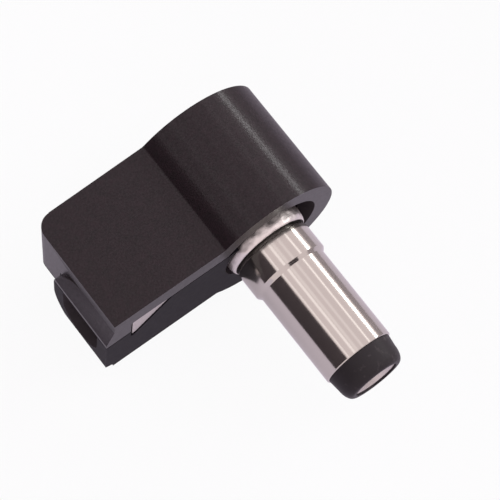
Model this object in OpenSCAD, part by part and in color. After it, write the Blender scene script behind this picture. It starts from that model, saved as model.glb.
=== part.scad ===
// Right-angle barrel plug with a two-part snap cover.
// The barrel points along -Y, the cable leaves along -X and the lid is underneath.
// The origin is on the barrel axis at the root of the shank.

/* [Cover] */
// Diameter of the round head about the barrel axis
head_d = 11.9; // [11.5:0.1:12.5]
// Thickness of the straight handle
handle_t = 8.8; // [8.5:0.1:9.2]
// Depth of the cover from front face to back
cover_depth = 9.5; // [9.4:0.1:10.6]
// Barrel axis to the outside of the tail wall
tail_reach = 13.3; // [13:0.1:15]
// Wall thickness of cover and lid
cover_wall = 1.25; // [1.1:0.05:1.3]
// Thickness of the back wall at the head
back_wall = 1.8; // [1.4:0.1:2]
// Thickness of the tail wall
tail_wall = 1.45; // [1.3:0.05:1.6]
// Diameter of the round opening that the barrel leaves by
opening_d = 8.8; // [8.4:0.1:9]
// Height of the lip along the front of the top wall
lip_h = 1.8; // [1.6:0.1:2]
// Depth lost along the back wall between head and tail
tail_taper = 0.2; // [0:0.05:0.6]
// Radius of the upright corner between back wall and tail wall
tail_corner_r = 1.2; // [0.6:0.1:1.5]
// Radius of the crease where handle meets head
crease_r = 0.5; // [0.3:0.1:0.8]
// Distance of the cover's front face behind the collar rim
front_setback = 0.5; // [0.4:0.05:0.6]
// Thickness of the web that grips the barrel
web_t = 1.4; // [1.2:0.1:1.6]
// Diameter of the boss that backs the barrel when it is pushed into a jack
boss_d = 4.8; // [4:0.1:5]

/* [Lid] */
// Clearance between lid and cover
lid_gap = 0.15; // [0.12:0.01:0.2]
// Parting line of the back and tail walls, below the barrel axis
skirt_drop = 1.8; // [1.6:0.1:2]
// Direction of the hinge from the barrel axis, below the horizontal
hinge_angle = 44; // [42:1:48]
// Opening angle that the wall round the hinge leaves room for
lid_open = 50; // [40:1:55]
// Radius of the hinge knuckle and of the ears that carry it
knuckle_r = 0.85; // [0.8:0.05:0.95]
// Radius of the pivots on the knuckle
pivot_r = 0.4; // [0.35:0.05:0.45]
// Clearance of a pivot in its ear
pivot_gap = 0.1; // [0.08:0.01:0.12]
// Gap between the collar and the rim of the lid below it
collar_room = 0.35; // [0.3:0.05:0.6]
// Lowest edge of the notch in the front wall, below the barrel axis
notch_drop = 0.2; // [0:0.1:0.4]
// Width of that notch along its upper edge
notch_w = 3.65; // [3.4:0.05:3.9]
// Inset of the tail wall's foot
tail_lean = 0.8; // [0.6:0.1:1]
// Thickness of the locating tongue and of the rib under the barrel
rib_t = 0.8; // [0.7:0.05:1]

/* [Cable outlet] */
// How far hood and spout stand out from the tail wall
hood_out = 0.65; // [0.6:0.05:0.9]
// Lower edge of the hood, above the barrel axis
hood_low = 0.85; // [0.8:0.05:1]
// Upper edge of the hood, above the barrel axis
hood_top = 3.1; // [2.9:0.1:3.3]
// Width of hood and spout from the front face
outlet_w = 6.2; // [6:0.1:6.6]
// Corner radius of the hood
outlet_r = 2.6; // [2:0.1:2.8]
// Corner radius of the spout
spout_r = 3.4; // [3:0.1:3.6]
// Width of the slot for the cable
cable_slot_w = 4; // [3.6:0.1:4.2]
// Centre of the cable below the barrel axis
cable_drop = 1.4; // [1.3:0.1:1.5]

/* [Barrel] */
// Outside diameter of the shank
shank_d = 5.5; // [5.4:0.05:5.6]
// Wall of the sleeve at the shank
sleeve_wall = 0.3; // [0.25:0.05:0.4]
// Diameter of the thicker part behind the shank
shoulder_d = 6; // [5.9:0.05:6.1]
// Collar rim to the step in front of the shoulder
shoulder_l = 2.35; // [2:0.05:2.6]
// Length of the cone between shoulder and shank
step_l = 0.3; // [0.2:0.05:0.4]
// Length of the straight shank
shank_l = 7.55; // [7.2:0.05:8]
// Width of the groove between collar and shoulder
groove_w = 0.25; // [0.15:0.05:0.35]
// Depth of that groove below the shoulder
groove_d = 0.3; // [0.2:0.05:0.35]
// Largest diameter of the collar bead
collar_d = 6.45; // [6.35:0.05:6.6]
// Width of the collar bead
bead_w = 1.4; // [1.1:0.05:1.5]

/* [Tip and contacts] */
// Length of the insulating tip in front of the sleeve
tip_l = 1.95; // [1.8:0.05:2.2]
// Length of the tip's plug inside the sleeve
plug_l = 3.5; // [3:0.1:4.5]
// Wall of the insulating tube behind that plug
tube_wall = 0.5; // [0.4:0.05:0.6]
// Diameter of the tip at the sleeve
tip_d = 5.25; // [5.1:0.05:5.3]
// Diameter of the tip's flat end
tip_face_d = 4.1; // [3.9:0.05:4.3]
// Bore of the centre contact
contact_d = 2.1; // [2:0.05:2.15]
// Wall of the centre contact
contact_wall = 0.25; // [0.2:0.05:0.35]
// Widening of the contact at its mouth
mouth_flare = 0.45; // [0.3:0.05:0.5]
// How far the mouth lies behind the tip's end
mouth_set = 0.15; // [0.1:0.05:0.2]
// Thickness of the solder tags
tag_t = 0.5; // [0.4:0.05:0.55]
// Thickness of the insulating washer
washer_t = 0.8; // [0.6:0.05:0.9]

/* [Hidden] */
$fn = 64;
far = 40;

// Cover
head_r = head_d / 2;
half_t = handle_t / 2;
rim_y = shoulder_l + step_l;
front_y = rim_y + front_setback;
back_y = front_y + cover_depth;
inside_y = front_y + cover_wall;
rear_y = back_y - back_wall;
tail_in = tail_reach - tail_wall;
lip_z = half_t - lip_h;
crease_x = sqrt(pow(head_r + crease_r, 2) - pow(half_t + crease_r, 2));

// Web and the stack of pieces that it carries
web_y0 = inside_y + 2 * lid_gap;
web_y1 = web_y0 + web_t;
web_side = 1.6;
neck_r = shoulder_d / 2 - groove_d;
rivet_t = 0.3;
rivet_y = web_y1 + tag_t + rivet_t;
washer_y = rivet_y + washer_t;
center_y = washer_y + tag_t;
head_y = center_y + rivet_t;

// Hinge
hinge_out = [cos(hinge_angle), -sin(hinge_angle)];
hinge_side = [-sin(hinge_angle), -cos(hinge_angle)];
hinge_skin = 0.1;
hinge_r = head_r - knuckle_r - hinge_skin;
hinge = hinge_r * hinge_out;
swing_r = sqrt(pow(head_r, 2) - pow(hinge_r * sin(lid_open / 2), 2)) - hinge_r * cos(lid_open / 2);
relief_r = swing_r + lid_gap / 2;
pivot_l = 0.7;
ear_y0 = web_y0;
ear_y1 = rear_y - lid_gap;

// Outlet
spout_x = tail_reach + hood_out;
outlet_y = front_y + outlet_w;
cable_y = front_y + outlet_w / 2;
chamfer_x = 1.4;
chamfer_z = 0.75;
flare_z = hood_top - 1.8;

// Wedge-shaped notch in the lid's front wall, deepest at the tail
notch_foot = 0.3;
notch_slope = (notch_w - notch_foot) / (lip_z + notch_drop);

// Tongue and rib of the lid
tongue_inset = 0.6;
rib_inset = 0.4;
rib_x = neck_r - rib_inset;

// Barrel and contacts
shank_r = shank_d / 2;
bore_r = shank_r - sleeve_wall;
neck_bore_r = neck_r - sleeve_wall;
contact_r = contact_d / 2;
contact_out_r = contact_r + contact_wall;
mouth_r = contact_out_r + mouth_flare;
tube_r = contact_out_r + tube_wall;
mouth_lip = 0.15;
mouth_l = 0.6;
seat_y = shank_l + tip_l - mouth_set;
pin_step = 0.3;
pin_r = contact_out_r - pin_step;
tip_end = shank_l + tip_l;
tip_edge = 0.1;
tip_side_r = tip_d / 2 - tip_edge;
tip_round_l = 0.85;
sleeve_edge = 0.1;
bead_r = collar_d / 2;
bead_front = 0.4;
rim_w = 0.35;
rim_r = neck_r + rim_w;
seat_w = 0.25;
rivet_over = 0.35;
rivet_r = neck_r + rivet_over;
tag_margin = 0.55;
tag_r = rivet_r + tag_margin;
washer_margin = 0.35;
washer_r = rivet_r + washer_margin;
ring_w = 1.3;
center_tag_r = pin_r + ring_w;
head_over = 0.5;
head_rivet_r = pin_r + head_over;

// Solder tags
tag_top = 0.7;
tag_low = -1.5;
tag_run = 1.9;
tag_bend_x = tag_r + tag_run;
center_half_w = 1;
center_run = 1.2;
center_bend_x = center_tag_r + center_run;
center_inset = 1.7;
center_arm_y = rear_y - center_inset;
bend_slope = 0.8;
wire_hole_d = 1.1;
wire_hole_inset = 0.9;

// Cable clamp, and the end of the centre tag in front of it
arm_space = 0.95;
clamp_y = center_arm_y - arm_space;
clamp_side = 0.15;
clamp_l = 2.55;
clamp_x1 = tail_in - clamp_side;
clamp_x0 = clamp_x1 - clamp_l;
center_end_x = clamp_x0 - clamp_side;
clamp_lift = 0.3;
clamp_low = -half_t + cover_wall + clamp_lift;
clamp_lip = 0.06;
clamp_wing = 2.2;
tab_space = 0.25;
tab_low = 2 * lid_gap - notch_drop;
tab_top = lip_z - lid_gap;

// Extrudes an XZ outline from y0 to y1
module along_y(y0, y1) {
    translate([0, y1, 0]) rotate([90, 0, 0]) linear_extrude(y1 - y0) children();
}

// Extrudes a YZ outline from x0 to x1
module along_x(x0, x1) {
    translate([x0, 0, 0]) rotate([90, 0, 90]) linear_extrude(x1 - x0) children();
}

// Turns an outline of radius and distance in front of the shank's root about the barrel axis
module turned() {
    rotate([90, 0, 0]) rotate_extrude($fn = 96) children();
}

// Fillet between the flat of the handle and the round head
module crease() {
    centre = [-crease_x, half_t + crease_r];
    touch = centre * head_r / (head_r + crease_r);
    difference() {
        polygon([[-crease_x, half_t], centre, touch, [0, half_t]]);
        translate(centre) circle(crease_r);
    }
}

module keyhole() {
    circle(head_r);
    translate([-tail_reach, -half_t]) square([tail_reach, handle_t]);
    crease();
    mirror([0, 1]) crease();
}

module keyhole_inside() {
    circle(head_r - cover_wall);
    translate([-tail_in, -half_t + cover_wall]) square([tail_in, handle_t - 2 * cover_wall]);
}

// Closed case that cover and lid are parted from, each with its own opening for the barrel
module case(opening_r) {
    difference() {
        along_y(front_y, back_y) keyhole();
        along_y(inside_y, rear_y) keyhole_inside();
        along_y(front_y - 1, inside_y + 0.1) circle(opening_r);
        back_taper();
        tail_corner();
    }
}

module back_taper() {
    translate([0, 0, -far / 2]) linear_extrude(far)
        polygon([[-crease_x, back_y], [-tail_reach, back_y - tail_taper],
                 [-tail_reach - 1, back_y - tail_taper], [-tail_reach - 1, back_y + 1],
                 [-crease_x, back_y + 1]]);
}

module tail_corner() {
    corner_y = back_y - tail_taper;
    translate([-tail_reach, corner_y, -far / 2]) linear_extrude(far)
        difference() {
            translate([-1, -tail_corner_r]) square([tail_corner_r + 1, tail_corner_r + 1]);
            translate([tail_corner_r, -tail_corner_r]) circle(tail_corner_r);
            translate([tail_corner_r, -far]) square(2 * far);
        }
}

// Everything above a line from the barrel axis out through the hinge
module above_hinge(gap) {
    start = gap * hinge_side;
    polygon([start, start + far * hinge_out, [far, far], [-far, far], [-far, start.y]]);
}

// Parting behind the front wall: level along the handle, and out through the hinge at the head
module above_parting(gap) {
    above_hinge(gap);
    translate([-far, -skirt_drop - gap]) square([2 * far, far]);
}

// Parting of the front wall: under the lip, round the opening and out through the hinge
module above_front_parting(gap) {
    difference() {
        above_hinge(gap);
        translate([-far, -far]) square([far, far + lip_z - gap]);
    }
    translate([-far, hood_low - gap]) square([far - tail_in, far]);
}

// Part of the opening beside the hinge, where the lid keeps clear of the cover's ear
module opening_right() {
    intersection() {
        circle(opening_d / 2);
        translate([rib_x, -far]) square(2 * far);
    }
}

module at_hinge(y0, y1) {
    along_y(y0, y1) translate(hinge) children();
}

// Outline of hood and spout, round at the back and flat at the front
module outlet_outline() {
    translate([outlet_y, -half_t]) difference() {
        translate([-outlet_w, 0]) square([outlet_w, hood_top + half_t]);
        round_off(spout_r);
        translate([0, hood_top + half_t]) mirror([0, 1]) round_off(outlet_r);
    }
}

// What a rounded corner at the origin loses
module round_off(r) {
    difference() {
        translate([-r, -1]) square(r + 1);
        translate([-r, r]) circle(r);
    }
}

// Flared lip above the cable
module hood() {
    intersection() {
        along_y(front_y, outlet_y)
            polygon([[-tail_reach, hood_low], [-spout_x, hood_low], [-spout_x, flare_z],
                     [-tail_reach, hood_top]]);
        along_x(-spout_x - 1, 0) outlet_outline();
    }
}

// Saddle that the neck of the barrel is pushed up into
module web() {
    along_y(web_y0, web_y1) difference() {
        intersection() {
            circle(head_r - cover_wall / 2);
            translate([-neck_r - web_side, -skirt_drop]) square(far);
        }
        circle(neck_r);
        translate([-neck_r, -far]) square([2 * neck_r, far]);
    }
}

// Boss on the back wall behind the riveted end of the barrel
module backing_boss() {
    along_y(head_y + lid_gap, rear_y + back_wall / 2) intersection() {
        circle(boss_d / 2);
        above_parting(0);
    }
}

module upper_cover() {
    color("#3a3538") difference() {
        union() {
            intersection() {
                case(opening_d / 2);
                union() {
                    along_y(inside_y, back_y) above_parting(0);
                    along_y(front_y, inside_y) above_front_parting(0);
                }
            }
            hood();
            web();
            backing_boss();
            at_hinge(front_y, ear_y0) circle(knuckle_r);
            at_hinge(ear_y1, back_y) circle(knuckle_r);
        }
        translate([-far, front_y, -far]) cube([far - tail_in, outlet_w + lid_gap, far + hood_low]);
        along_y(front_y - 1, inside_y) circle(opening_d / 2);
        at_hinge(ear_y0, ear_y1) circle(relief_r);
        at_hinge(ear_y0 - pivot_l - lid_gap, ear_y1 + pivot_l + lid_gap) circle(pivot_r + pivot_gap);
    }
}

// Lower half of the cable outlet
module spout() {
    difference() {
        intersection() {
            along_x(-spout_x, -tail_in) outlet_outline();
            translate([-far, 0, -far]) cube([far, far, far + hood_low - lid_gap]);
        }
        along_y(front_y - 1, outlet_y + 1)
            polygon([[-spout_x - 1, -half_t - 1], [-spout_x - 1, -half_t + chamfer_z],
                     [-spout_x, -half_t + chamfer_z], [-spout_x + chamfer_x, -half_t],
                     [-spout_x + chamfer_x, -half_t - 1]]);
    }
}

// Notch that the cable clamp shows through
module front_notch() {
    along_y(front_y - 1, inside_y + 0.1)
        polygon([[-tail_in, -notch_drop], [notch_foot - tail_in, -notch_drop],
                 [notch_w - tail_in, lip_z], [-tail_in, lip_z]]);
}

// Inward lean of the tail wall behind the spout
module tail_lean_cut() {
    along_y(outlet_y, back_y + 1)
        polygon([[-tail_reach, -skirt_drop - lid_gap], [-tail_reach + tail_lean, -half_t],
                 [-tail_reach + tail_lean, -half_t - 1], [-tail_reach - 1, -half_t - 1],
                 [-tail_reach - 1, -skirt_drop - lid_gap]]);
}

// Rib that closes the saddle from below
module barrel_rib() {
    along_y(web_y0 + lid_gap, web_y0 + lid_gap + rib_t) intersection() {
        circle(head_r - cover_wall / 2);
        translate([-rib_x, -far - neck_r - 1.5 * lid_gap]) square([2 * rib_x, far]);
    }
}

// Tongue that slides up inside the back wall
module back_tongue() {
    tongue_y = rear_y - lid_gap;
    tongue_h = half_t - cover_wall / 2 - tongue_inset;
    translate([-tail_in + tongue_inset, tongue_y - rib_t, -half_t + cover_wall / 2])
        cube([tail_in - head_r, rib_t, tongue_h]);
}

module lower_cover() {
    color("#232528") {
        difference() {
            union() {
                difference() {
                    case(bead_r + collar_room);
                    along_y(front_y - 1, inside_y + 0.1) opening_right();
                    along_y(inside_y, back_y + 1) above_parting(lid_gap);
                    along_y(front_y - 1, inside_y) above_front_parting(lid_gap);
                    tail_lean_cut();
                }
                spout();
            }
            front_notch();
            cable_slot();
            at_hinge(front_y - 1, ear_y0 + lid_gap) circle(relief_r);
            at_hinge(ear_y1 - lid_gap, back_y + 1) circle(relief_r);
        }
        barrel_rib();
        back_tongue();
        at_hinge(ear_y0 + lid_gap, ear_y1 - lid_gap) circle(knuckle_r);
        at_hinge(ear_y0 + lid_gap - pivot_l, ear_y1 - lid_gap + pivot_l) circle(pivot_r);
    }
}

// Slot for the cable through the tail wall
module cable_slot() {
    along_x(-spout_x - 1, -tail_in + 0.1) translate([cable_y, -cable_drop]) {
        circle(cable_slot_w / 2);
        translate([-cable_slot_w / 2, 0]) square([cable_slot_w, far]);
    }
}

// Rounded bead on a short tube that bears on the web
module collar_ring() {
    front_w = bead_w * bead_front;
    back_w = bead_w - front_w;
    seat_r = neck_r + seat_w;
    crest = -rim_y - front_w;
    back = [for (a = [-75:15:0]) [seat_r + (bead_r - seat_r) * cos(a), crest + back_w * sin(a)]];
    front = [for (a = [15:15:90]) [rim_r + (bead_r - rim_r) * cos(a), crest + front_w * sin(a)]];
    color("#b9b3ae") turned()
        polygon(concat([[neck_r, -web_y0], [seat_r, -web_y0], [seat_r, crest - back_w]],
                       back, front, [[neck_r, -rim_y]]));
}

module barrel_sleeve() {
    shoulder_r = shoulder_d / 2;
    groove_y = rim_y - groove_w;
    color("#d6d0cb") turned()
        polygon([[neck_bore_r, -rivet_y], [rivet_r, -rivet_y], [rivet_r, -rivet_y + rivet_t],
                 [neck_r, -rivet_y + rivet_t], [neck_r, -groove_y],
                 [shoulder_r - sleeve_edge, -groove_y], [shoulder_r, sleeve_edge - groove_y],
                 [shoulder_r, -step_l], [shank_r, 0], [shank_r, shank_l - sleeve_edge],
                 [shank_r - sleeve_edge, shank_l], [bore_r, shank_l], [bore_r, 0],
                 [neck_bore_r, -step_l]]);
}

// Rounded tip with a plug, a tube round the contact and a flange in the neck
module tip_insulator() {
    plug_y = shank_l - plug_l;
    color("#1d1c1d") turned()
        polygon(concat([[contact_out_r, -rivet_y], [neck_bore_r, -rivet_y], [neck_bore_r, -web_y0],
                        [tube_r, -web_y0], [tube_r, plug_y], [bore_r, plug_y], [bore_r, shank_l],
                        [tip_d / 2, shank_l]],
                       [for (a = [0:15:90])
                           [tip_face_d / 2 + (tip_side_r - tip_face_d / 2) * cos(a),
                            tip_end - tip_round_l * (1 - sin(a))]],
                       [[mouth_r, tip_end], [mouth_r, seat_y - mouth_flare],
                        [contact_out_r, seat_y - 2 * mouth_flare]]));
}

module center_contact() {
    blind = -web_y0;
    color("#cfc8c0") turned()
        polygon([[0, -head_y], [head_rivet_r, -head_y], [head_rivet_r, -center_y], [pin_r, -center_y],
                 [pin_r, -rivet_y], [contact_out_r, -rivet_y],
                 [contact_out_r, seat_y - 2 * mouth_flare], [mouth_r, seat_y - mouth_flare],
                 [mouth_r, seat_y], [mouth_r - mouth_lip, seat_y], [contact_r, seat_y - mouth_l],
                 [contact_r, blind], [0, blind - contact_r / 2]]);
}

module rear_washer() {
    color("#c9b894") translate([0, washer_y, 0]) rotate([90, 0, 0]) difference() {
        cylinder(r = washer_r, h = washer_t);
        translate([0, 0, -1]) cylinder(r = pin_r, h = washer_t + 2);
    }
}

// Flat strip that steps back by the rise between two levels, as seen from above
module tag_arm(start_x, bend_x, end_x, y0, y1, z0, z1) {
    run = abs(y1 - y0) * bend_slope;
    translate([0, 0, z0]) linear_extrude(z1 - z0)
        polygon([[-start_x, y0], [-bend_x, y0], [-bend_x - run, y1], [-end_x, y1], [-end_x, y1 + tag_t],
                 [-bend_x - run - tag_t / 2, y1 + tag_t], [-bend_x - tag_t / 2, y0 + tag_t],
                 [-start_x, y0 + tag_t]]);
}

module wire_hole(x, y, z) {
    translate([-x, y + tag_t + 1, z]) rotate([90, 0, 0]) cylinder(d = wire_hole_d, h = tag_t + 2);
}

// Outer solder tag with the cable clamp at its end
module sleeve_tag() {
    color("#c6c0ba") difference() {
        union() {
            along_y(web_y1, web_y1 + tag_t) circle(tag_r);
            tag_arm(rivet_r, tag_bend_x, clamp_x1, web_y1, clamp_y, tag_low, tag_top);
            cable_clamp();
        }
        along_y(web_y1 - 1, web_y1 + tag_t + 1) circle(neck_r);
        wire_hole(tag_bend_x - wire_hole_inset, web_y1, (tag_low + tag_top) / 2);
    }
}

// Edge of the clamp's tab beside the notch, at height z
function tab_edge(z) = notch_foot - tab_space - tail_in + (z + notch_drop) * notch_slope;

// Wings that fold round the cable, with a tab turned up in the notch
module cable_clamp() {
    along_y(front_y + clamp_lip, front_y + clamp_lip + tag_t)
        polygon([[-clamp_x1, tab_low], [tab_edge(tab_low), tab_low], [tab_edge(tab_top), tab_top],
                 [-clamp_x1, tab_top]]);
    neck_x = tab_edge(tag_top - tag_t);
    translate([0, 0, tag_top - tag_t]) linear_extrude(tag_t)
        polygon([[-clamp_x1, front_y + clamp_lip], [neck_x, front_y + clamp_lip],
                 [neck_x, inside_y + lid_gap], [-clamp_x0, inside_y + lid_gap],
                 [-clamp_x0, clamp_y + tag_t], [-clamp_x1, clamp_y + tag_t]]);
    translate([-clamp_x1, clamp_y, clamp_low])
        cube([clamp_x1 - clamp_x0, tag_t, tag_top - clamp_low]);
    translate([-clamp_x1, clamp_y - clamp_wing, clamp_low])
        cube([clamp_x1 - clamp_x0, clamp_wing + tag_t, tag_t]);
}

module center_tag() {
    color("#c6c0ba") difference() {
        union() {
            along_y(washer_y, center_y) circle(center_tag_r);
            tag_arm(head_rivet_r, center_bend_x, center_end_x, washer_y, center_arm_y,
                    -center_half_w, center_half_w);
        }
        along_y(washer_y - 1, center_y + 1) circle(pin_r);
        wire_hole(center_end_x - wire_hole_inset, center_arm_y, 0);
    }
}

upper_cover();
lower_cover();
collar_ring();
barrel_sleeve();
tip_insulator();
center_contact();
rear_washer();
sleeve_tag();
center_tag();
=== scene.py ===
import math

import bmesh
import bpy
from mathutils import Matrix, Vector


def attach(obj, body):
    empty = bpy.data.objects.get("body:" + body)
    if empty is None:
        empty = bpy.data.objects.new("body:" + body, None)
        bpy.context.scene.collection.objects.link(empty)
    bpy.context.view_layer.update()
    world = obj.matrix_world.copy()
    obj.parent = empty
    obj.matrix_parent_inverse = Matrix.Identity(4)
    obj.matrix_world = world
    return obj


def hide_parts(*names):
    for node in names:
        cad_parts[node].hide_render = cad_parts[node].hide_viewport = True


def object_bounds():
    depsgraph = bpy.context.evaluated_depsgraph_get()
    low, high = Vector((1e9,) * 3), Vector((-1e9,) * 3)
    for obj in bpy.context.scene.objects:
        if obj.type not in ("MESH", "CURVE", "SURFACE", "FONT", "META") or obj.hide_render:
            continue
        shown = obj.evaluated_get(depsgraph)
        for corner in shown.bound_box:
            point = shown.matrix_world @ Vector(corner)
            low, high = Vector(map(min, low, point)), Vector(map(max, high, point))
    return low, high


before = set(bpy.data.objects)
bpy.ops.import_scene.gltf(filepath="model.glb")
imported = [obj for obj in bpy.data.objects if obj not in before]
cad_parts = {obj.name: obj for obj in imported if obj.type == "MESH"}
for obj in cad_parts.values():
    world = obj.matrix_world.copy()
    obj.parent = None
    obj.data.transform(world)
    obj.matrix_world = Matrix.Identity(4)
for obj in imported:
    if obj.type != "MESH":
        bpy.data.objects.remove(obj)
cadLow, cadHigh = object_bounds()
mm = 0.001  # every size in the settings is in millimetres
print("frame loaded with", len(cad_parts), "nodes")

scene = bpy.context.scene
scene.view_settings.view_transform = "Standard"


# An sRGB hex colour as linear light
def linear(hexColour):
    parts = [int(hexColour[i:i + 2], 16) / 255 for i in (1, 3, 5)]
    return (*(p / 12.92 if p <= 0.04045 else ((p + 0.055) / 1.055) ** 2.4 for p in parts), 1.0)


def addNode(tree, kind, settings=None, inputs=None, links=None):
    node = tree.nodes.new(kind)
    for name, value in (settings or {}).items():
        setattr(node, name, value)
    for name, value in (inputs or {}).items():
        node.inputs[name].default_value = value
    for name, source in (links or {}).items():
        tree.links.new(source, node.inputs[name])
    return node


def startMaterial(name, inputs):
    material = bpy.data.materials.new(name)
    material.use_nodes = True
    tree = material.node_tree
    tree.nodes.clear()
    shader = addNode(tree, "ShaderNodeBsdfPrincipled", inputs=inputs)
    addNode(tree, "ShaderNodeOutputMaterial", links={"Surface": shader.outputs["BSDF"]})
    place = addNode(tree, "ShaderNodeTexCoord").outputs["Object"]
    return material, tree, shader, place


# Noise inputs for patches of a real size
def patches(size, detail):
    return {"Scale": 1 / (size * mm), "Detail": detail}


# Two tones in soft patches, or in spots where the settings have a blend; returns the noise behind them
def mottle(tree, shader, place, look):
    noise = addNode(
        tree, "ShaderNodeTexNoise", inputs=patches(look["patch"], look["detail"]),
        links={"Vector": place})
    share = noise.outputs["Fac"]
    if "blend" in look:
        start, full = look["blend"]
        spots = addNode(
            tree, "ShaderNodeMapRange", inputs={"From Min": start, "From Max": full},
            links={"Value": share})
        share = spots.outputs["Result"]
    tones = {"A": linear(look["dark"]), "B": linear(look["light"])}
    tint = addNode(tree, "ShaderNodeMix", {"data_type": "RGBA"}, tones, {"Factor": share})
    tree.links.new(tint.outputs["Result"], shader.inputs["Base Color"])
    return noise.outputs["Fac"]


# Roughness that follows a noise from one value to another
def varyShine(tree, shader, noise, roughness):
    start, full = roughness
    rough = addNode(
        tree, "ShaderNodeMapRange", inputs={"To Min": start, "To Max": full}, links={"Value": noise})
    tree.links.new(rough.outputs["Result"], shader.inputs["Roughness"])


# Injection moulded ABS from a spark-eroded mould: a soft sheen that breaks into sparkle in the highlights
# Real grain is finer than the picture can show, so grain and facets are drawn coarser
coverSettings = {
    "dark": "#070506",
    "light": "#24151c",
    "patch": 0.35,
    "detail": 3.0,
    "roughness": (0.48, 0.62),
    "ior": 1.52,
    "gloss": 0.19,
    "texture": {"size": 0.14, "detail": 2.0, "depth": 0.012},
    "sparkle": {"size": 0.13, "detail": 1.0, "depth": 0.007, "spread": (0.3, 0.7),
                "weight": (0.18, 0.42), "roughness": 0.16},
}


def texturedAbs():
    look = coverSettings
    texture, sparkle = look["texture"], look["sparkle"]
    material, tree, shader, place = startMaterial("texturedAbs", {
        "IOR": look["ior"], "Specular IOR Level": look["gloss"], "Coat Roughness": sparkle["roughness"]})
    mottle(tree, shader, place, look)
    grain = addNode(
        tree, "ShaderNodeTexNoise", inputs=patches(texture["size"], texture["detail"]),
        links={"Vector": place})
    varyShine(tree, shader, grain.outputs["Fac"], look["roughness"])
    bump = addNode(
        tree, "ShaderNodeBump", inputs={"Distance": texture["depth"] * mm},
        links={"Height": grain.outputs["Fac"]})
    facets = addNode(
        tree, "ShaderNodeTexNoise", inputs=patches(sparkle["size"], sparkle["detail"]),
        links={"Vector": place})
    tilted = addNode(
        tree, "ShaderNodeBump", inputs={"Distance": sparkle["depth"] * mm},
        links={"Height": facets.outputs["Fac"]})
    low, high = sparkle["spread"]
    least, most = sparkle["weight"]
    glints = addNode(
        tree, "ShaderNodeMapRange", links={"Value": facets.outputs["Fac"]},
        inputs={"From Min": low, "From Max": high, "To Min": least, "To Max": most})
    tree.links.new(bump.outputs["Normal"], shader.inputs["Normal"])
    tree.links.new(tilted.outputs["Normal"], shader.inputs["Coat Normal"])
    tree.links.new(glints.outputs["Result"], shader.inputs["Coat Weight"])
    return material


# The cover's upright faces drag along the mould as it opens, so they come out smoother and shinier
sideSettings = {
    "dark": "#0c090b",
    "light": "#1a1216",
    "patch": 0.25,
    "detail": 4.0,
    "roughness": (0.29, 0.42),
    "ior": 1.52,
    "gloss": 0.36,
}


def draggedAbs():
    look = sideSettings
    material, tree, shader, place = startMaterial(
        "draggedAbs", {"IOR": look["ior"], "Specular IOR Level": look["gloss"]})
    varyShine(tree, shader, mottle(tree, shader, place, look), look["roughness"])
    return material


# Injection moulded ABS from a dull mould: an even grey-black without sheen, a little bluer than the cover
lidSettings = {
    "dark": "#19171b",
    "light": "#222025",
    "patch": 0.3,
    "detail": 3.0,
    "roughness": (0.34, 0.46),
    "ior": 1.52,
    "gloss": 0.022,
    "grainDepth": 0.004,
}


def dullAbs():
    look = lidSettings
    material, tree, shader, place = startMaterial(
        "dullAbs", {"IOR": look["ior"], "Specular IOR Level": look["gloss"]})
    grain = mottle(tree, shader, place, look)
    varyShine(tree, shader, grain, look["roughness"])
    bump = addNode(
        tree, "ShaderNodeBump", inputs={"Distance": look["grainDepth"] * mm}, links={"Height": grain})
    tree.links.new(bump.outputs["Normal"], shader.inputs["Normal"])
    return material


# Inside the openings and the cavity: the same plastic, duller, and painted a paler grey that is painted
# light standing in for the light that reaches in
innerSettings = {
    "dark": "#443f42",
    "light": "#524c4f",
    "patch": 0.4,
    "detail": 3.0,
    "roughness": 0.65,
    "gloss": 0.2,
}


def paintedLightInsideAbs():
    look = innerSettings
    material, tree, shader, place = startMaterial(
        "paintedLightInsideAbs", {"Roughness": look["roughness"], "Specular IOR Level": look["gloss"]})
    mottle(tree, shader, place, look)
    return material


# Broken edges: the same plastic smoother and painted paler, part edge wear and part painted highlight, so
# that thin lines of light run along them
edgeSettings = {
    "dark": "#120d10",
    "light": "#5c545a",
    "patch": 0.35,
    "detail": 3.0,
    "roughness": (0.4, 0.2),
    "gloss": 0.6,
}


def wornHighlitEdgeAbs():
    look = edgeSettings
    material, tree, shader, place = startMaterial("wornHighlitEdgeAbs", {"Specular IOR Level": look["gloss"]})
    varyShine(tree, shader, mottle(tree, shader, place, look), look["roughness"])
    return material


# Metal under nickel plate: bright and warm, with faint tool marks that the plate has half filled
# Real tool marks are finer than the picture can show, so they are drawn coarser
nickelSettings = {
    "bright": {"colour": "#c8c4bc", "roughness": 0.12, "ring": 0.09, "ringDepth": 0.0003,
               "dent": 2.5, "dentDepth": 0.002},
    "dull": {"colour": "#e6e1dc", "roughness": 0.4, "ring": 0.07, "ringDepth": 0.0012,
             "dent": 0.9, "dentDepth": 0.16},
    "stamped": {"colour": "#cdc8c3", "roughness": 0.42, "ring": 0.5, "ringDepth": 0.0006,
                "dent": 1.5, "dentDepth": 0.01},
    # painted shade: the plate darkened in the grooves between parts
    "shadedGroove": {"colour": "#2a2522", "roughness": 0.6, "ring": 0.07, "ringDepth": 0.0012,
                  "dent": 0.9, "dentDepth": 0.01},
}
plateSettings = {
    "ringStretch": (0.02, 1.0, 0.02),
    "ringDetail": 2.0,
    "dentDetail": 1.0,
    "haze": 1.1,
    "hazeDetail": 4.0,
    "hazeShare": (0.75, 1.3),
}


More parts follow.
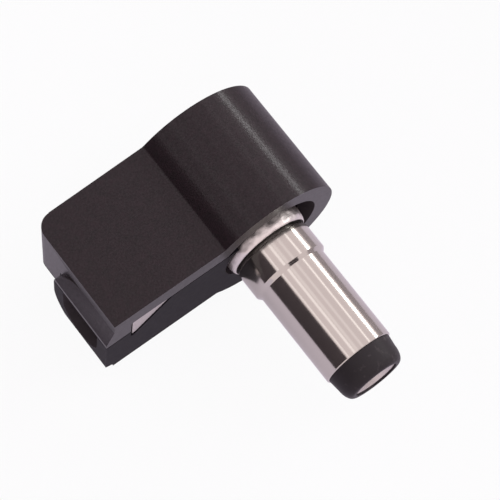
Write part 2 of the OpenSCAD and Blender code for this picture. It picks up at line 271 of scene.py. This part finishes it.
def platedNickel(kind):
    look, plate = nickelSettings[kind], plateSettings
    material, tree, shader, place = startMaterial(
        kind + "Nickel", {"Base Color": linear(look["colour"]), "Metallic": 1.0})
    haze = addNode(
        tree, "ShaderNodeTexNoise", inputs=patches(plate["haze"], plate["hazeDetail"]),
        links={"Vector": place})
    roughness = [look["roughness"] * share for share in plate["hazeShare"]]
    varyShine(tree, shader, haze.outputs["Fac"], roughness)
    dents = addNode(
        tree, "ShaderNodeTexNoise", inputs=patches(look["dent"], plate["dentDetail"]),
        links={"Vector": place})
    uneven = addNode(
        tree, "ShaderNodeBump", inputs={"Distance": look["dentDepth"] * mm},
        links={"Height": dents.outputs["Fac"]})
    along = addNode(
        tree, "ShaderNodeMapping", inputs={"Scale": plate["ringStretch"]}, links={"Vector": place})
    rings = addNode(
        tree, "ShaderNodeTexNoise", inputs=patches(look["ring"], plate["ringDetail"]),
        links={"Vector": along.outputs["Vector"]})
    bump = addNode(
        tree, "ShaderNodeBump", inputs={"Distance": look["ringDepth"] * mm},
        links={"Height": rings.outputs["Fac"], "Normal": uneven.outputs["Normal"]})
    tree.links.new(bump.outputs["Normal"], shader.inputs["Normal"])
    return material


# Moulded black nylon, scuffed by many jacks: a dull black with small paler rubs
tipSettings = {
    "dark": "#393638",
    "light": "#565153",
    "patch": 0.5,
    "detail": 4.0,
    "blend": (0.6, 0.8),
    "roughness": (0.32, 0.5),
    "ior": 1.53,
    "gloss": 0.07,
}


def mouldedNylon():
    look = tipSettings
    material, tree, shader, place = startMaterial(
        "mouldedNylon", {"IOR": look["ior"], "Specular IOR Level": look["gloss"]})
    varyShine(tree, shader, mottle(tree, shader, place, look), look["roughness"])
    return material


# Punched phenolic paper: tan, dull, with faint fibre
washerSettings = {
    "dark": "#8a6a40",
    "light": "#a9855a",
    "patch": 0.25,
    "detail": 5.0,
    "roughness": 0.6,
}


def phenolicPaper():
    look = washerSettings
    material, tree, shader, place = startMaterial("phenolicPaper", {"Roughness": look["roughness"]})
    mottle(tree, shader, place, look)
    return material


finishes = {
    "upper_cover": texturedAbs(),
    "lower_cover": dullAbs(),
    "collar_ring": platedNickel("dull"),
    "barrel_sleeve": platedNickel("bright"),
    "tip_insulator": mouldedNylon(),
    "center_contact": platedNickel("stamped"),
    "rear_washer": phenolicPaper(),
}
finishes["sleeve_tag"] = finishes["center_contact"]
finishes["center_tag"] = finishes["center_contact"]
# Dark plate for the grooves between parts: painted shade
grooveShadeFinish = platedNickel("shadedGroove")
print("finishes made:", len(finishes))


# A rounding is an arc in steps that takes up at most a share of each side
# A corner whose half angle is over straight, in degrees, is left as it is
outlineSettings = {"steps": 5, "sideShare": 0.49, "straight": 89}


# Corners given as radius, height and rounding become one smooth closed outline
def roundedOutline(corners):
    arc = outlineSettings
    points = []
    count = len(corners)
    for i, (radius, height, rounding) in enumerate(corners):
        here = Vector((radius, height))
        before = Vector(corners[i - 1][:2]) - here
        after = Vector(corners[(i + 1) % count][:2]) - here
        half = before.angle(after) / 2
        if rounding == 0 or half > math.radians(arc["straight"]):
            points.append(here)
            continue
        most = min(before.length, after.length) * arc["sideShare"]
        cut = min(rounding / math.tan(half), most)
        start = here + before.normalized() * cut
        end = here + after.normalized() * cut
        centre = here + (before.normalized() + after.normalized()).normalized() * (cut / math.cos(half))
        for k in range(arc["steps"] + 1):
            spoke = (start - centre).lerp(end - centre, k / arc["steps"])
            points.append(centre + spoke.normalized() * (start - centre).length)
    return points


# Sweeps an outline of radius and height round the barrel axis, height running to the tip
def turningTree():
    tree = bpy.data.node_groups.new("turnedOnLathe", "GeometryNodeTree")
    sockets = tree.interface
    sockets.new_socket("Geometry", in_out="INPUT", socket_type="NodeSocketGeometry")
    sockets.new_socket("Steps", in_out="INPUT", socket_type="NodeSocketInt")
    sockets.new_socket("Path Radius", in_out="INPUT", socket_type="NodeSocketFloat")
    sockets.new_socket("Finish", in_out="INPUT", socket_type="NodeSocketMaterial")
    sockets.new_socket("Geometry", in_out="OUTPUT", socket_type="NodeSocketGeometry")
    given = addNode(tree, "NodeGroupInput").outputs
    outline = addNode(tree, "GeometryNodeMeshToCurve", links={"Mesh": given["Geometry"]})
    path = addNode(
        tree, "GeometryNodeCurvePrimitiveCircle",
        links={"Resolution": given["Steps"], "Radius": given["Path Radius"]})
    swept = addNode(
        tree, "GeometryNodeCurveToMesh",
        links={"Curve": path.outputs["Curve"], "Profile Curve": outline.outputs["Curve"]})
    turned = addNode(
        tree, "GeometryNodeTransform", inputs={"Rotation": (math.pi / 2, 0.0, 0.0)},
        links={"Geometry": swept.outputs["Mesh"]})
    solid = addNode(tree, "GeometryNodeRealizeInstances", links={"Geometry": turned.outputs["Geometry"]})
    coated = addNode(
        tree, "GeometryNodeSetMaterial",
        links={"Geometry": solid.outputs["Geometry"], "Material": given["Finish"]})
    addNode(tree, "NodeGroupOutput", links={"Geometry": coated.outputs["Geometry"]})
    return tree


lathe = turningTree()
latheSettings = {"steps": 128, "pathRadius": 1.0, "smooth": 34}


def turnPiece(name, corners, finish, steps=latheSettings["steps"]):
    pathRadius = latheSettings["pathRadius"] * mm
    points = roundedOutline(corners)
    # the sweep sets an outline's x away from the axis and its y downwards
    places = [(p.x * mm - pathRadius, -p.y * mm, 0.0) for p in points]
    edges = [(i, (i + 1) % len(points)) for i in range(len(points))]
    mesh = bpy.data.meshes.new(name)
    mesh.from_pydata(places, edges, [])
    blank = bpy.data.objects.new(name + "Blank", mesh)
    scene.collection.objects.link(blank)
    modifier = blank.modifiers.new("lathe", "NODES")
    modifier.node_group = lathe
    ids = {item.name: item.identifier for item in lathe.interface.items_tree if item.in_out == "INPUT"}
    modifier[ids["Steps"]] = steps
    modifier[ids["Path Radius"]] = pathRadius
    modifier[ids["Finish"]] = finish
    graph = bpy.context.evaluated_depsgraph_get()
    made = bpy.data.meshes.new_from_object(blank.evaluated_get(graph), depsgraph=graph)
    bpy.data.objects.remove(blank)
    return finishPiece(name, made, latheSettings["smooth"])


samePoint = 0.0004 * mm  # points nearer than this are one


# Merges, points faces outwards and shades smooth up to an angle
def finishPiece(name, mesh, smoothAngle):
    work = bmesh.new()
    work.from_mesh(mesh)
    bmesh.ops.remove_doubles(work, verts=work.verts, dist=samePoint)
    bmesh.ops.dissolve_degenerate(work, edges=work.edges, dist=samePoint)
    bmesh.ops.recalc_face_normals(work, faces=work.faces)
    for face in work.faces:
        face.smooth = True
    work.to_mesh(mesh)
    work.free()
    mesh.set_sharp_from_angle(angle=math.radians(smoothAngle))
    mesh.name = name
    piece = bpy.data.objects.new(name, mesh)
    scene.collection.objects.link(piece)
    return piece


# Faces between two heights and below a radius lie in a groove, where the plate is painted dark as painted
# shade
def paintGrooveShade(piece, below, heights):
    low, high = heights
    piece.data.materials.append(grooveShadeFinish)
    grooveIndex = len(piece.data.materials) - 1
    for face in piece.data.polygons:
        x, y, z = (v / mm for v in face.center)
        if math.hypot(x, z) < below and low < -y < high:
            face.material_index = grooveIndex


def seat(piece, body, nodeName):
    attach(piece, body)
    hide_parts(nodeName)


# Sleeve: shoulder, cone and shank turned in one, heights from the shank's root
sleeveShape = {
    "shankRadius": 2.75, "shankLength": 7.55, "shoulderRadius": 3.0, "step": 0.3,
    "grooveFrom": 2.4, "grooveTo": 3.0, "grooveDark": 0.02,
    "neckRadius": 2.7, "neckBore": 2.4, "bore": 2.45,
    "rivetRadius": 3.05, "rivetBack": 6.9, "rivetThick": 0.3,
    "boreRounding": 0.03, "rivetRounding": 0.12, "neckRounding": 0.02,
    "shoulderRounding": 0.1, "stepRounding": 0.12, "endRounding": 0.1,
}


def makeSleeve():
    shape = sleeveShape
    rivetFront = shape["rivetThick"] - shape["rivetBack"]
    corners = [
        (shape["neckBore"], -shape["rivetBack"], shape["boreRounding"]),
        (shape["rivetRadius"], -shape["rivetBack"], shape["rivetRounding"]),
        (shape["rivetRadius"], rivetFront, 0.0),
        (shape["neckRadius"], rivetFront, 0.0),
        (shape["neckRadius"], -shape["grooveFrom"], shape["neckRounding"]),
        (shape["shoulderRadius"], -shape["grooveFrom"], shape["shoulderRounding"]),
        (shape["shoulderRadius"], -shape["step"], shape["stepRounding"]),
        (shape["shankRadius"], 0.0, shape["stepRounding"]),
        (shape["shankRadius"], shape["shankLength"], shape["endRounding"]),
        (shape["bore"], shape["shankLength"], 0.0),
        (shape["bore"], 0.0, 0.0),
        (shape["neckBore"], -shape["step"], 0.0),
    ]
    piece = turnPiece("barrelSleeve", corners, finishes["barrel_sleeve"])
    grooveHeights = (-shape["grooveTo"], shape["grooveDark"] - shape["grooveFrom"])
    # painted shade in the groove behind the shoulder
    paintGrooveShade(piece, shape["shoulderRadius"] - shape["grooveDark"], grooveHeights)
    seat(piece, "plug", "barrel_sleeve")


makeSleeve()
print("sleeve turned")


# Collar: a wide round bead on a short tube that bears on the web
# The share beadFront of the bead's width lies in front of its crest
collarShape = {
    "inner": 2.7, "seat": 2.95, "back": 4.7, "front": 2.65, "rim": 3.0,
    "bead": 3.225, "beadWidth": 1.4, "beadFront": 0.65, "backSweep": 80, "frontSweep": 90, "arcSteps": 8,
    "seatRounding": 0.05, "innerRounding": 0.03, "grooveDark": 0.02,
}


def makeCollar():
    shape = collarShape
    frontWidth = shape["beadWidth"] * shape["beadFront"]
    backWidth = shape["beadWidth"] - frontWidth
    crest = -shape["front"] - frontWidth
    corners = [
        (shape["inner"], -shape["back"], 0.0),
        (shape["seat"], -shape["back"], shape["seatRounding"]),
        (shape["seat"], crest - backWidth, 0.0),
    ]
    for k in range(shape["arcSteps"] + 1):
        angle = math.radians(shape["backSweep"] * (k / shape["arcSteps"] - 1))
        radius = shape["seat"] + (shape["bead"] - shape["seat"]) * math.cos(angle)
        corners.append((radius, crest + backWidth * math.sin(angle), 0.0))
    for k in range(1, shape["arcSteps"] + 1):
        angle = math.radians(shape["frontSweep"] * k / shape["arcSteps"])
        radius = shape["rim"] + (shape["bead"] - shape["rim"]) * math.cos(angle)
        corners.append((radius, crest + frontWidth * math.sin(angle), 0.0))
    corners.append((shape["inner"], -shape["front"], shape["innerRounding"]))
    piece = turnPiece("collarRing", corners, finishes["collar_ring"])
    grooveHeights = (-shape["front"] - shape["grooveDark"], -shape["front"] + shape["grooveDark"])
    # painted shade in the groove at the collar's front
    paintGrooveShade(piece, shape["rim"] - shape["grooveDark"], grooveHeights)
    seat(piece, "plug", "collar_ring")


makeCollar()
print("collar turned")


# Tip: bullet nose, plug in the sleeve, tube round the contact and flange in the neck
tipShape = {
    "root": 7.55, "end": 9.5, "side": 2.525, "base": 2.625, "face": 1.98,
    "nose": 1.1, "noseSweep": 90, "arcSteps": 9,
    "mouth": 1.75, "mouthSeat": 9.35, "flare": 0.45, "bore": 1.3,
    "plug": 2.45, "plugBack": 4.05, "tube": 1.8, "flange": 2.4, "flangeFront": -4.7, "back": -6.9,
    "rounding": 0.05, "baseRounding": 0.03,
}


def makeTip():
    shape = tipShape
    corners = [
        (shape["bore"], shape["back"], 0.0),
        (shape["flange"], shape["back"], 0.0),
        (shape["flange"], shape["flangeFront"], shape["rounding"]),
        (shape["tube"], shape["flangeFront"], shape["rounding"]),
        (shape["tube"], shape["plugBack"], shape["rounding"]),
        (shape["plug"], shape["plugBack"], shape["rounding"]),
        (shape["plug"], shape["root"], 0.0),
        (shape["base"], shape["root"], shape["baseRounding"]),
    ]
    for k in range(shape["arcSteps"] + 1):
        angle = math.radians(shape["noseSweep"] * k / shape["arcSteps"])
        radius = shape["face"] + (shape["side"] - shape["face"]) * math.cos(angle)
        corners.append((radius, shape["end"] - shape["nose"] * (1 - math.sin(angle)), 0.0))
    corners += [
        (shape["mouth"], shape["end"], shape["rounding"]),
        (shape["mouth"], shape["mouthSeat"] - shape["flare"], 0.0),
        (shape["bore"], shape["mouthSeat"] - 2 * shape["flare"], 0.0),
    ]
    piece = turnPiece("tipInsulator", corners, finishes["tip_insulator"])
    seat(piece, "plug", "tip_insulator")


makeTip()
print("tip turned")


# Contact: bored pin with a flared mouth, riveted over at the back
contactShape = {
    "head": 8.5, "headRadius": 1.5, "headFront": 8.2, "pin": 1.0, "shoulder": 6.9, "outer": 1.3,
    "mouth": 1.75, "mouthSeat": 9.35, "mouthDepth": 0.6, "flare": 0.45, "lip": 0.15,
    "bore": 1.05, "blind": 4.7,
    "headRounding": 0.1, "mouthRounding": 0.05, "lipRounding": 0.06, "throatRounding": 0.2,
}


def makeContact():
    shape = contactShape
    corners = [
        (0.0, -shape["head"], 0.0),
        (shape["headRadius"], -shape["head"], shape["headRounding"]),
        (shape["headRadius"], -shape["headFront"], 0.0),
        (shape["pin"], -shape["headFront"], 0.0),
        (shape["pin"], -shape["shoulder"], 0.0),
        (shape["outer"], -shape["shoulder"], 0.0),
        (shape["outer"], shape["mouthSeat"] - 2 * shape["flare"], 0.0),
        (shape["mouth"], shape["mouthSeat"] - shape["flare"], shape["mouthRounding"]),
        (shape["mouth"], shape["mouthSeat"], shape["mouthRounding"]),
        (shape["mouth"] - shape["lip"], shape["mouthSeat"], shape["lipRounding"]),
        (shape["bore"], shape["mouthSeat"] - shape["mouthDepth"], shape["throatRounding"]),
        (shape["bore"], -shape["blind"], 0.0),
        (0.0, -shape["blind"] - shape["bore"] / 2, 0.0),
    ]
    piece = turnPiece("centerContact", corners, finishes["center_contact"])
    seat(piece, "plug", "center_contact")


makeContact()
print("contact turned")


# Washer: punched, with a slightly rounded rim
washerShape = {"inner": 1.0, "outer": 3.4, "front": 6.9, "back": 7.7, "rim": 0.08, "steps": 96}


def makeWasher():
    shape = washerShape
    corners = [
        (shape["inner"], -shape["back"], 0.0),
        (shape["outer"], -shape["back"], shape["rim"]),
        (shape["outer"], -shape["front"], shape["rim"]),
        (shape["inner"], -shape["front"], 0.0),
    ]
    piece = turnPiece("rearWasher", corners, finishes["rear_washer"], shape["steps"])
    seat(piece, "plug", "rear_washer")


makeWasher()
print("washer turned")


# Covers: the moulded edges are broken by a small radius and painted paler, part wear and part painted
# highlight, and the cavity is painted a paler grey as painted light
# Edges sharper than one angle are broken and faces flatter than another are joined, in degrees
coverShape = {
    "edge": 0.13, "segments": 3, "sharper": 32, "smooth": 24,
    "merge": 0.0006, "flatter": 0.4, "upright": 0.95,
    "cavity": {"front": 4.4, "back": 10.85, "radius": 4.7, "half": 3.15, "tail": 11.85, "spare": 0.02},
    "cableSlot": {"middle": 6.25, "half": 2.0, "low": -3.4, "high": 0.7},
    "opening": {"front": 3.15, "radius": 4.4},
}
outerFace, edgeFace, innerFace, uprightFace = range(4)  # where each finish is in a cover's list


# Faces of the cavity, the front opening and the cable slot, but not the end face round that slot
def isInside(face):
    x, y, z = (v / mm for v in face.calc_center_median())
    cavity, slot, opening = coverShape["cavity"], coverShape["cableSlot"], coverShape["opening"]
    spare = cavity["spare"]
    if x < -cavity["tail"] + spare:
        inSlot = abs(y - slot["middle"]) < slot["half"] + spare and slot["low"] - spare < z < slot["high"]
        return inSlot and abs(face.normal.x) < coverShape["upright"]
    fromAxis = math.hypot(x, z)
    if opening["front"] + spare < y <= cavity["front"] - spare:
        return fromAxis < opening["radius"] + spare
    if not cavity["front"] - spare < y < cavity["back"] + spare:
        return False
    return fromAxis < cavity["radius"] + spare or (x < 0 and abs(z) < cavity["half"] + spare)


# Front, back and tail faces, but not the flanks of the round head
def isUpright(face):
    shape = coverShape
    onTail = face.calc_center_median().x / mm < -shape["cavity"]["tail"]
    return abs(face.normal.y) > shape["upright"] or (onTail and face.normal.x < -shape["upright"])


def makeCover(nodeName, name, body, sharedFinishes):
    shape = coverShape
    # the finishes go in first, because clearing the list later sets every face back to the first
    mesh = bpy.data.meshes.new(name)
    for finish in (finishes[nodeName], *sharedFinishes):
        mesh.materials.append(finish)
    work = bmesh.new()
    work.from_mesh(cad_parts[nodeName].data)
    bmesh.ops.remove_doubles(work, verts=work.verts, dist=shape["merge"] * mm)
    bmesh.ops.dissolve_limit(
        work, angle_limit=math.radians(shape["flatter"]), verts=work.verts, edges=work.edges)
    work.normal_update()
    for face in work.faces:
        # faces inside get the paler grey that is painted light in the cavity
        if isInside(face):
            face.material_index = innerFace
        elif nodeName == "upper_cover" and isUpright(face):
            face.material_index = uprightFace
        else:
            face.material_index = outerFace
    work.to_mesh(mesh)
    work.free()
    piece = finishPiece(name, mesh, shape["smooth"])
    edge = piece.modifiers.new("brokenEdges", "BEVEL")
    edge.width = shape["edge"] * mm
    edge.segments = shape["segments"]
    edge.limit_method = "ANGLE"
    edge.angle_limit = math.radians(shape["sharper"])
    # the bevel faces get the paler edge colour, part wear and part painted highlight
    edge.material = edgeFace
    edge.use_clamp_overlap = True
    edge.harden_normals = True
    seat(piece, body, nodeName)


coverFinishes = (wornHighlitEdgeAbs(), paintedLightInsideAbs(), draggedAbs())
makeCover("upper_cover", "upperCover", "plug", coverFinishes)
makeCover("lower_cover", "lowerCover", "lid", coverFinishes)
print("covers softened")

# The CAD solids take the same finishes, and the two tags are shown as they are
for nodeName, finish in finishes.items():
    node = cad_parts[nodeName]
    node.data.materials.clear()
    node.data.materials.append(finish)


# Camera at the photograph's angle
cameraSettings = {
    "azimuth": -49.35,
    "elevation": 69.45,
    "roll": 12.66,
    "target": (-1.203, 3.379, -0.321),
    "distance": 140.9,
    "lens": 143.0,
    "sensor": 36.0,
    "clip": (10.0, 10000.0),
}


def makeCamera():
    view = cameraSettings
    azimuth, elevation, roll = (math.radians(view[name]) for name in ("azimuth", "elevation", "roll"))
    outwards = math.cos(elevation)
    back = Vector((math.sin(azimuth) * outwards, -math.cos(azimuth) * outwards, math.sin(elevation)))
    level = Vector((math.cos(azimuth), math.sin(azimuth), 0.0))
    rise = back.cross(level)
    right = level * math.cos(roll) + rise * math.sin(roll)
    up = back.cross(right)
    data = bpy.data.cameras.new("photoCamera")
    data.sensor_width = view["sensor"]
    data.lens = view["lens"]
    data.clip_start, data.clip_end = (v * mm for v in view["clip"])
    camera = bpy.data.objects.new("photoCamera", data)
    scene.collection.objects.link(camera)
    place = (Vector(view["target"]) + back * view["distance"]) * mm
    camera.matrix_world = Matrix.Translation(place) @ Matrix((right, up, back)).transposed().to_4x4()
    scene.camera = camera


makeCamera()
print("camera placed")


# Light tent: white all round, two dark flags, a low grey card and strips of light along the barrel
# A lamp's tilt is from overhead towards the head, and its level is what it adds to the tent's white
stageSettings = {
    "tentColour": "#fff0f5",
    "tentSeen": "#ffffff",
    "tentForSurfaces": 0.62,
    "floorColour": "#e6dff0",
    "floorRoughness": 0.9,
    "floorInMetal": "#f4e9f8",
    "floorShare": {"camera": 0.94, "metal": 0.52},
    "floorSize": 1600.0,
    "flagRoughness": 1.0,
    "flags": [
        {"name": "darkFlag", "ends": ((-110.0, -25.0), (-110.0, 120.0)), "height": (0.0, 123.0),
         "colour": "#484245", "glow": 0.0},
        {"name": "greyCard", "ends": ((40.0, -100.0), (40.0, 160.0)), "height": (0.0, 15.0),
         "colour": "#b4aeb0", "glow": 0.45},
        {"name": "frontFlag", "ends": ((0.0, -150.0), (70.0, -150.0)), "height": (50.0, 96.0),
         "colour": "#2c2628", "glow": 0.0},
    ],
    "lamps": [
        {"name": "keyStrip", "tilt": 69.0, "size": (360.0, 34.0), "level": 7.5, "mirrored": True},
        {"name": "highStrip", "tilt": 39.5, "size": (360.0, 24.0), "level": 0.75, "mirrored": True},
        {"name": "middleStrip", "tilt": 14.0, "size": (360.0, 34.0), "level": 0.2, "mirrored": True},
        {"name": "crownStrip", "tilt": -5.0, "size": (360.0, 38.0), "level": 0.2, "mirrored": True},
        {"name": "leftStrip", "tilt": -15.0, "size": (360.0, 34.0), "level": 0.5, "mirrored": True},
        {"name": "flagStrip", "tilt": -37.0, "size": (360.0, 20.0), "level": 0.5, "mirrored": True},
        {"name": "fillPanel", "tilt": 42.0, "size": (160.0, 160.0), "level": 2.6, "mirrored": False},
    ],
    "lampDistance": 280.0,
    "lampShift": {"strips": 40.0, "fillPanel": -60.0},
}


def makeWorld():
    stage = stageSettings
    world = bpy.data.worlds.new("lightTent")
    world.use_nodes = True
    tree = world.node_tree
    tree.nodes.clear()
    path = addNode(tree, "ShaderNodeLightPath").outputs
    seen = addNode(
        tree, "ShaderNodeMath", {"operation": "ADD"},
        links={0: path["Is Camera Ray"], 1: path["Is Glossy Ray"]})
    seen = addNode(
        tree, "ShaderNodeMath", {"operation": "ADD", "use_clamp": True},
        links={0: seen.outputs[0], 1: path["Is Transmission Ray"]})
    level = addNode(
        tree, "ShaderNodeMapRange", inputs={"To Min": stage["tentForSurfaces"], "To Max": 1.0},
        links={"Value": seen.outputs[0]})
    tones = {"A": linear(stage["tentColour"]), "B": linear(stage["tentSeen"])}
    tint = addNode(tree, "ShaderNodeMix", {"data_type": "RGBA"}, tones, {"Factor": path["Is Camera Ray"]})
    tent = addNode(
        tree, "ShaderNodeBackground",
        links={"Color": tint.outputs["Result"], "Strength": level.outputs["Result"]})
    addNode(tree, "ShaderNodeOutputWorld", links={"Surface": tent.outputs[0]})
    scene.world = world


def makeSheet(name, corners, material):
    mesh = bpy.data.meshes.new(name)
    mesh.from_pydata([Vector(c) * mm for c in corners], [], [(0, 1, 2, 3)])
    mesh.materials.append(material)
    sheet = bpy.data.objects.new(name, mesh)
    scene.collection.objects.link(sheet)
    return sheet


def makeFloor():
    stage = stageSettings
    material, tree, shader, _ = startMaterial(
        "paleFloor", {"Base Color": linear(stage["floorColour"]), "Roughness": stage["floorRoughness"]})
    path = addNode(tree, "ShaderNodeLightPath").outputs
    seen = addNode(
        tree, "ShaderNodeMath", {"operation": "ADD", "use_clamp": True},
        links={0: path["Is Glossy Ray"], 1: path["Is Transmission Ray"]})
    seen = addNode(
        tree, "ShaderNodeMath", {"operation": "MULTIPLY"}, {1: stage["floorShare"]["metal"]},
        {0: seen.outputs[0]})
    glow = addNode(
        tree, "ShaderNodeEmission", inputs={"Color": linear(stage["floorInMetal"]), "Strength": 1.0})
    lit = addNode(
        tree, "ShaderNodeMixShader",
        links={0: seen.outputs[0], 1: shader.outputs["BSDF"], 2: glow.outputs[0]})
    # the camera sees the white tent through the floor, so the lid still shows where it opens below it
    through = addNode(
        tree, "ShaderNodeMath", {"operation": "MULTIPLY"}, {1: stage["floorShare"]["camera"]},
        {0: path["Is Camera Ray"]})
    clear = addNode(tree, "ShaderNodeBsdfTransparent")
    mix = addNode(
        tree, "ShaderNodeMixShader",
        links={0: through.outputs[0], 1: lit.outputs[0], 2: clear.outputs[0]})
    tree.links.new(mix.outputs[0], tree.nodes["Material Output"].inputs["Surface"])
    half = stage["floorSize"] / 2
    low = cadLow.z / mm
    corners = [(-half, -half, low), (half, -half, low), (half, half, low), (-half, half, low)]
    makeSheet("paleFloor", corners, material)


def makeFlags():
    stage = stageSettings
    low = cadLow.z / mm
    for flag in stage["flags"]:
        colour = linear(flag["colour"])
        cloth = {"Base Color": colour, "Roughness": stage["flagRoughness"],
                 "Emission Color": colour, "Emission Strength": flag["glow"]}
        material, _, _, _ = startMaterial(flag["name"] + "Cloth", cloth)
        (x0, y0), (x1, y1) = flag["ends"]
        bottom, top = (low + height for height in flag["height"])
        corners = [(x0, y0, bottom), (x1, y1, bottom), (x1, y1, top), (x0, y0, top)]
        makeSheet(flag["name"], corners, material).visible_camera = False


def makeLamps():
    stage = stageSettings
    centre = (cadLow + cadHigh) / 2
    barrelAxis = Vector((0.0, 1.0, 0.0))
    for lamp in stage["lamps"]:
        data = bpy.data.lights.new(lamp["name"], "AREA")
        data.shape = "RECTANGLE"
        data.size, data.size_y = (v * mm for v in lamp["size"])
        data.energy = math.pi * data.size * data.size_y * lamp["level"]
        tilt = math.radians(lamp["tilt"])
        shift = stage["lampShift"].get(lamp["name"], stage["lampShift"]["strips"])
        reach = stage["lampDistance"]
        place = centre + Vector((math.sin(tilt) * reach, shift, math.cos(tilt) * reach)) * mm
        away = (place - centre).normalized()
        rise = away.cross(barrelAxis).normalized()
        side = rise.cross(away)
        obj = bpy.data.objects.new(lamp["name"], data)
        obj.visible_glossy = lamp["mirrored"]
        obj.matrix_world = Matrix.Translation(place) @ Matrix((side, rise, away)).transposed().to_4x4()
        scene.collection.objects.link(obj)


makeWorld()
makeFloor()
makeFlags()
makeLamps()
print("stage lit by", len(stageSettings["lamps"]), "lamps")
